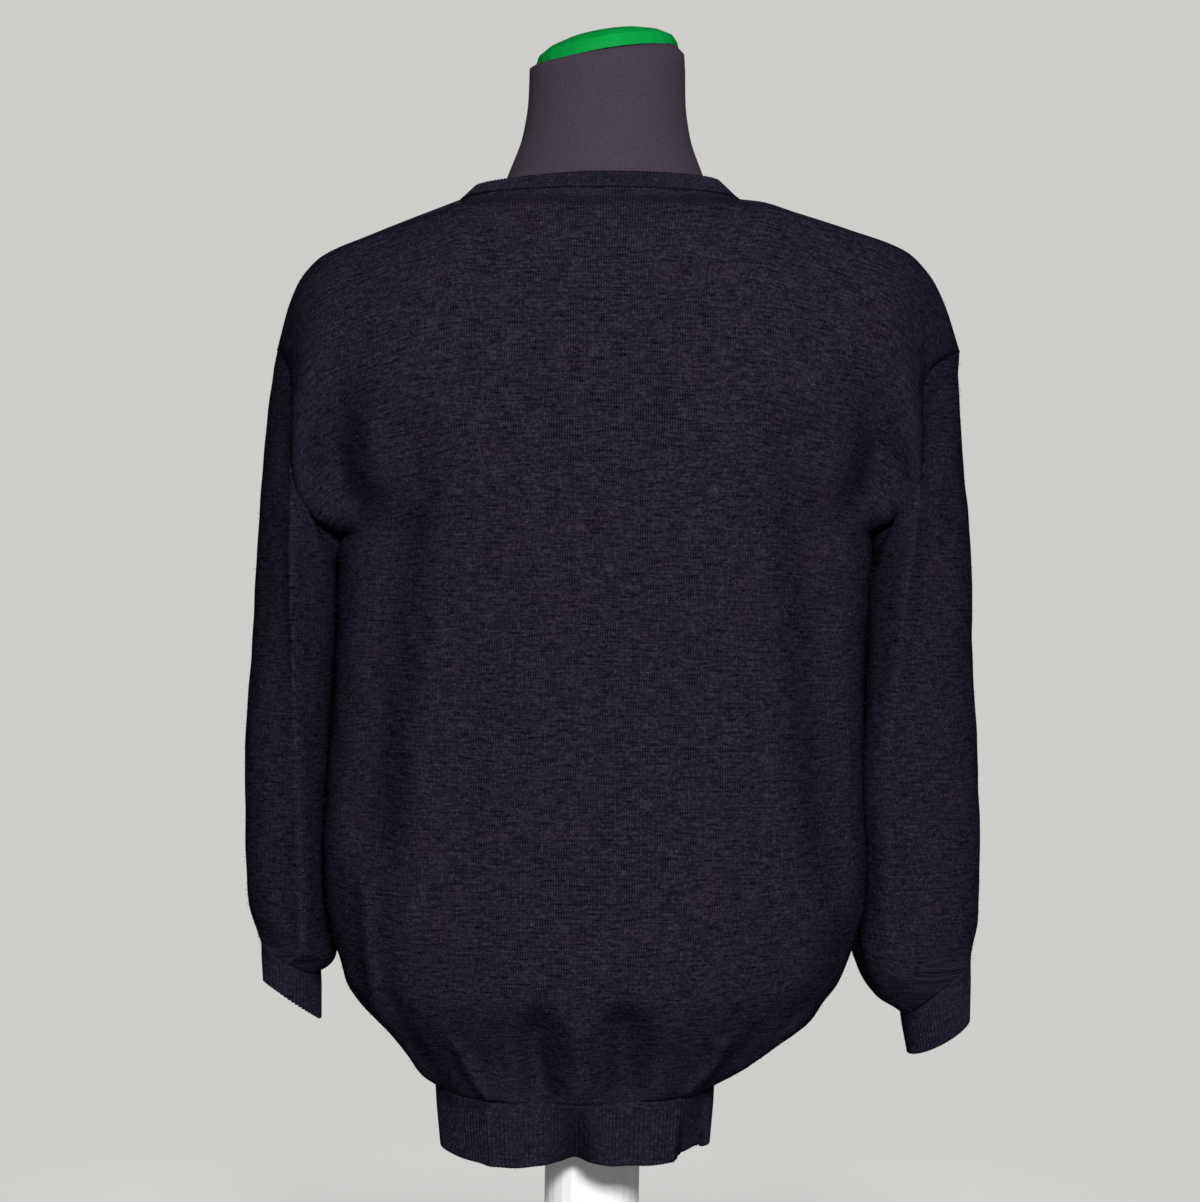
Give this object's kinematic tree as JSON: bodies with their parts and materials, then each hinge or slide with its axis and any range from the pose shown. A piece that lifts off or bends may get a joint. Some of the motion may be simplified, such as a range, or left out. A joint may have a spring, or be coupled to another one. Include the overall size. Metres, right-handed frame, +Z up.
{
  "type": "v-neck sweater on dress form",
  "caption": "Navy fine-knit v-neck sweater with long hanging sleeves, ribbed hem, cuffs and neckband, worn by a limbless dress form on a pole with a round base.",
  "frame": {"origin": "middle of the round base's underside, on the floor", "axes": "+Z up, -Y the way the sweater's front faces, +X the wearer's left"},
  "size_m": [0.5145, 0.33, 0.9962],
  "materials": {
    "navy_knit": "matte fine wool knit",
    "navy_rib": "matte ribbed wool knit",
    "dark_jersey": "matte jersey cover",
    "green_cap": "satin",
    "pale_wrap": "pale pole in clear film",
    "pale_base": "satin"
  },
  "bodies": {
    "root": {"back_panel": "navy_knit", "front_panel": "navy_knit", "sleeve_left": "navy_knit", "sleeve_right": "navy_knit", "cuff_left": "navy_rib", "cuff_right": "navy_rib", "hem_rib_back": "navy_rib", "hem_rib_front": "navy_rib", "neckband": "navy_rib", "form_torso": "dark_jersey", "neck_cap": "green_cap", "pole": "pale_wrap", "stand_base": "pale_base"}
  },
  "joints": []
}
